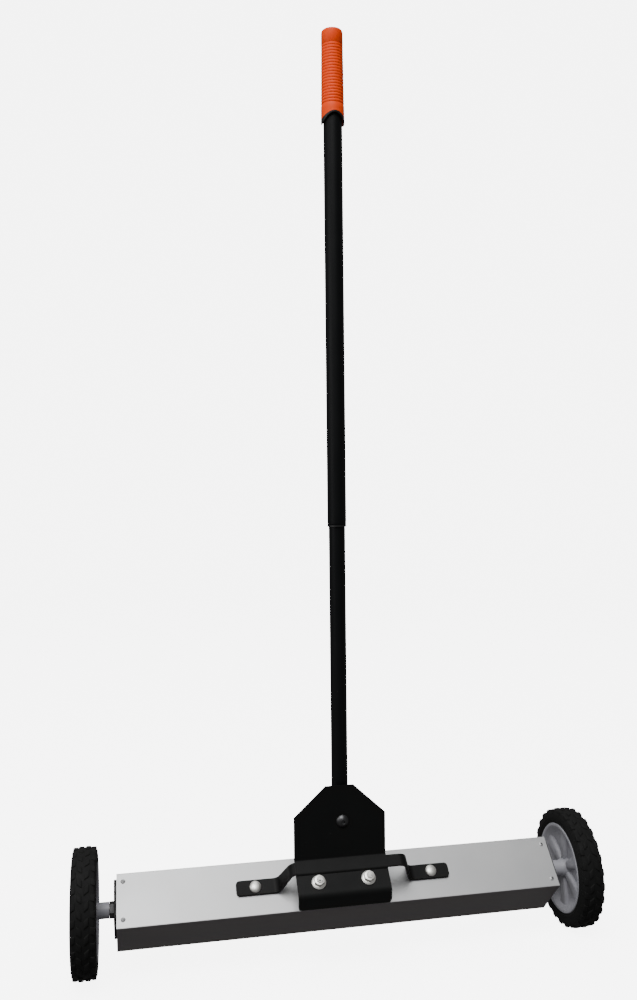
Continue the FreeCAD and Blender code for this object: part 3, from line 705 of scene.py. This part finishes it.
block_count = 26
block_crown_share = (1, 0.72, 0.82)
block_rounding = 0.8
tread_rows = [
    # middle across the tyre, crown radius, height, length round it, width, skew, stagger in pitches
    (4.6, 82.9, 3.4, 12.0, 7.2, 0.75, 0.0),
    (-4.6, 82.9, 3.4, 12.0, 7.2, -0.75, 0.5),
    (12.1, 81.9, 4.6, 11.5, 6.6, -0.35, 0.5),
    (-12.1, 81.9, 4.6, 11.5, 6.6, 0.35, 0.0),
    # short bars that run from the shoulder blocks down the sidewalls
    (-15.6, 77.75, 6.5, 4.2, 1.6, 0.0, 0.0),
    (15.6, 77.75, 6.5, 4.2, 1.6, 0.0, 0.5),
]


def tread_block(height, length, width, skew):
    """Make one tapered tread block, crown towards +X, before it is placed on the tyre."""
    block = bmesh.new()
    bmesh.ops.create_cube(block, size=1)
    bmesh.ops.scale(block, vec=Vector((height, length, width)) * MM, verts=block.verts)
    crown = [v for v in block.verts if v.co.x > 0]
    bmesh.ops.scale(block, vec=block_crown_share, verts=crown)
    for vert in block.verts:
        vert.co.y += vert.co.z * skew
    ease(block, block_rounding)
    return block


def tyre():
    """Make a tyre with its tread blocks, its middle plane at z = 0."""
    body = carcass()
    for across, crown, height, length, width, skew, stagger in tread_rows:
        start = Vector((crown - height / 2, 0, across)) * MM
        for number in range(block_count):
            turn = Matrix.Rotation(math.tau * (number + stagger) / block_count, 4, "Z")
            block = tread_block(height, length, width, skew)
            join_into(body, block, turn @ Matrix.Translation(start))
    return body


for side in ("left", "right"):
    body = side + "_wheel"
    centre = wheel_centre()
    bmesh.ops.transform(centre, matrix=wheel_place(side), verts=centre.verts)
    finish_piece(centre, "wheel_centre_" + side, body, "grey_plastic", ["rim_" + side])
    rubber = tyre()
    bmesh.ops.transform(rubber, matrix=wheel_place(side), verts=rubber.verts)
    finish_piece(rubber, "knobbly_tyre_" + side, body, "tyre_rubber", ["tyre_" + side])

# %% [markdown]
# ## Telescopic tubes
# Each tube is spun with a real wall, so that its open end shows its thickness. The outer tube's
# lower end is rolled in a little over its guide bush.

# %% Tubes
inner_tube_wall = 1.2
outer_tube_wall = 1.1
tube_edge = 0.2


def tube_size(node):
    """Give a packed tube's outer radius and its length, in mm."""
    size = span(node)
    return size.x / 2 / MM, size.z / MM


def upper_end(radius, wall, length):
    """List the side view of a tube's upper end, with both edges eased."""
    return [
        (radius, length - tube_edge),
        (radius - tube_edge, length),
        (radius - wall + tube_edge, length),
        (radius - wall, length - tube_edge),
    ]


def spun_tube(profile, name, body, node):
    """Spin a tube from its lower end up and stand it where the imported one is."""
    tube = spun(profile, 64, closed=True)
    place = Matrix.Translation((tube_line.x, tube_line.y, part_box(node)[0].z))
    bmesh.ops.transform(tube, matrix=place, verts=tube.verts)
    finish_piece(tube, name, body, "black_tube_coat", [node])


radius, length = tube_size("lower_tube")
plain_end = [
    (radius - inner_tube_wall, tube_edge),
    (radius - inner_tube_wall + tube_edge, 0),
    (radius - tube_edge, 0),
    (radius, tube_edge),
]
profile = plain_end + upper_end(radius, inner_tube_wall, length)
spun_tube(profile, "inner_tube", "housing", "lower_tube")

radius, length = tube_size("upper_tube")
rolled_end = [
    (radius - outer_tube_wall, 0.3),
    (radius - 1.0, 0),
    (radius - 0.5, 0),
    (radius - 0.2, 0.5),
    (radius - 0.1, 2.5),
    (radius, 6),
]
profile = rolled_end + upper_end(radius, outer_tube_wall, length)
spun_tube(profile, "outer_tube", "upper_handle", "upper_tube")

# %% [markdown]
# ## The grip
# The grip is a soft vinyl sleeve: plain at both ends, with fine ribs round its middle and a
# rounded closed top. Its profile is a list of rings, and the ribs are small waves on it. The
# mouth at its lower end is flared, cut back at the front and the back so that the palm doesn't
# meet a hard edge. Its last few millimetres are black: painted shade for the shaded underside
# and inside of the flared mouth.

# %% Ribbed grip
grip_low, grip_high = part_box("grip")
grip_length = (grip_high.z - grip_low.z) / MM
grip_bore = 12.85
grip_bottom_radius = 16.0
grip_top_radius = 14.6
grip_top_corner = 3.4
grip_end_wall = 4.0
grip_rib_pitch = 4.0
grip_rib_first = 27.0
grip_rib_count = 20
grip_rib_wave = ((0.0, -0.8), (0.25, -0.2), (0.5, 0.0), (0.75, -0.2))
notch_depth = 12.5
notch_reach = 20.0
# height up to which the mouth is black, as painted shade for its shaded underside and inside
mouth_shade_height = 7.0


def grip_radius(height):
    """Give the grip's plain radius at a height above its mouth."""
    share = height / grip_length
    return grip_bottom_radius + (grip_top_radius - grip_bottom_radius) * share


def grip_profile():
    """List the grip's side view, from inside the mouth, over the ribs, to the middle of the top."""
    profile = [(grip_bore, notch_reach + 4), (14.3, notch_reach - 4), (14.9, 1.0), (15.2, 0.0)]
    profile.append((15.7, 0.4))
    for height in (2.0, mouth_shade_height, 12.0, notch_reach, notch_reach + 5):
        profile.append((grip_radius(height), height))
    for rib in range(grip_rib_count):
        for share, rise in grip_rib_wave:
            height = grip_rib_first + (rib + share) * grip_rib_pitch
            profile.append((grip_radius(height) + rise, height))
    ribs_end = grip_rib_first + grip_rib_count * grip_rib_pitch
    profile.append((grip_radius(ribs_end) + grip_rib_wave[0][1], ribs_end))
    profile.append((grip_radius(ribs_end + 1), ribs_end + 1))
    corner_start = grip_length - grip_top_corner
    profile.append((grip_radius(corner_start - 2), corner_start - 2))
    for step in range(6):
        angle = math.radians(90 * step / 5)
        radius = grip_top_radius - grip_top_corner * (1 - math.cos(angle))
        profile.append((radius, corner_start + grip_top_corner * math.sin(angle)))
    inside_top = grip_length - grip_end_wall
    profile += [(5.0, grip_length), (0, grip_length), (0, inside_top), (grip_bore, inside_top)]
    return profile


grip = spun(grip_profile(), 72, closed=True)
# faces of the mouth's last millimetres take the black finish: painted shade inside the flared mouth
for face in grip.faces:
    if max(vert.co.z for vert in face.verts) < (mouth_shade_height + 0.1) * MM:
        face.material_index = 1
for vert in grip.verts:
    height = vert.co.z / MM
    if height < notch_reach:
        around = math.atan2(vert.co.x, vert.co.y)
        fall = 1 - height / notch_reach
        vert.co.z += notch_depth * MM * math.cos(around) ** 2 * fall
place = Matrix.Translation((tube_line.x, tube_line.y, grip_low.z))
bmesh.ops.transform(grip, matrix=place, verts=grip.verts)
# black plastic as painted shade for the grip's mouth
mouth_shade_finish = [finishes["black_plastic"]]
finish_piece(grip, "ribbed_grip", "upper_handle", "grip_plastic", ["grip"], mouth_shade_finish, 50)

# %% [markdown]
# ## Pieces that stay as the model has them
# The tray, the magnets, the bushes, the hidden screws and nuts and the parts inside the tubes
# already have the right shape. They only need their finish, which goes on their object's
# material slots.

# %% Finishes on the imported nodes
slot_of = {part["node"]: part["material_slot"] for part in frame["record"]["subparts"]}
for name, node in nodes.items():
    if not node.material_slots:
        node.data.materials.append(None)
    for material_slot in node.material_slots:
        material_slot.link = "OBJECT"
        material_slot.material = finishes[slot_of[name]]
print(len(nodes), "packed nodes have a finish")

# %% [markdown]
# ## Floor, light and camera
# A round pale floor runs up into a wall all round, so that no horizon shows from any side. The
# light is soft: one large lamp high in front and a little to the left, a weaker one low on the
# left, one overhead, and a white surround. The camera stands to the left at half the handle's
# height and looks level.

# %% Floor and backdrop
floor_radius = 5000.0
bend_radius = 2000.0
wall_top = 9000.0
floor_profile = [(0, 0)]
for step in range(17):
    angle = math.radians(90 * step / 16)
    reach = floor_radius + bend_radius * math.sin(angle)
    floor_profile.append((reach, bend_radius * (1 - math.cos(angle))))
floor_profile.append((floor_radius + bend_radius, wall_top))
floor = spun(floor_profile, 96)
paper, tree, shader, position = start_finish("pale backdrop paper", "#F4F4F4", 0.9)
shader.inputs["Emission Color"].default_value = linear("#FFFFFF")
shader.inputs["Emission Strength"].default_value = 6.0
fibre = add_node(tree, "ShaderNodeTexNoise", {"Vector": position, "Scale": per_metre(400)})
vary_colour(tree, shader, fibre.outputs["Fac"], "#F2F2F2", "#F6F6F6")
mesh = bpy.data.meshes.new("backdrop")
floor.to_mesh(mesh)
floor.free()
mesh.shade_smooth()
mesh.materials.append(paper)
backdrop = bpy.data.objects.new("backdrop", mesh)
bpy.context.scene.collection.objects.link(backdrop)
backdrop.visible_diffuse = False
backdrop.visible_glossy = False

# %% Lights


def soft_lamp(name, place, target, size, power):
    """Add a square area lamp that looks at a point."""
    data = bpy.data.lights.new(name, "AREA")
    data.size = size
    data.energy = power
    lamp = bpy.data.objects.new(name, data)
    lamp.location = place
    lamp.rotation_euler = (Vector(target) - Vector(place)).to_track_quat("-Z", "Y").to_euler()
    bpy.context.scene.collection.objects.link(lamp)


soft_lamp("key", (-1.0, -2.4, 4.45), (-0.1, 0, 0.15), 2.6, 215)
soft_lamp("side", (-2.2, -0.9, 1.2), (-0.2, 0, 0.3), 1.4, 15)
soft_lamp("overhead", (0, 0.8, 3.0), (0, 0, 0), 2.0, 20)
world = bpy.data.worlds.new("white surround")
world.use_nodes = True
background = world.node_tree.nodes["Background"]
background.inputs["Color"].default_value = linear("#FFFFFF")
background.inputs["Strength"].default_value = 0.2
bpy.context.scene.world = world

# %% Camera
camera_from_axle = Vector((-0.2874, -1.2957, 0.5499))
camera_data = bpy.data.cameras.new("view")
camera_data.sensor_width = 36
camera_data.lens = 34.17
camera = bpy.data.objects.new("view", camera_data)
camera.location = axle + camera_from_axle
heading, tip, roll = (math.radians(value) for value in (11.487, -0.254, 0.597))
turn = Matrix.Rotation(-heading, 4, "Z") @ Matrix.Rotation(math.radians(90) + tip, 4, "X")
camera.rotation_euler = (turn @ Matrix.Rotation(-roll, 4, "Z")).to_euler()
bpy.context.scene.collection.objects.link(camera)
bpy.context.scene.camera = camera
print("camera", tuple(camera.location))
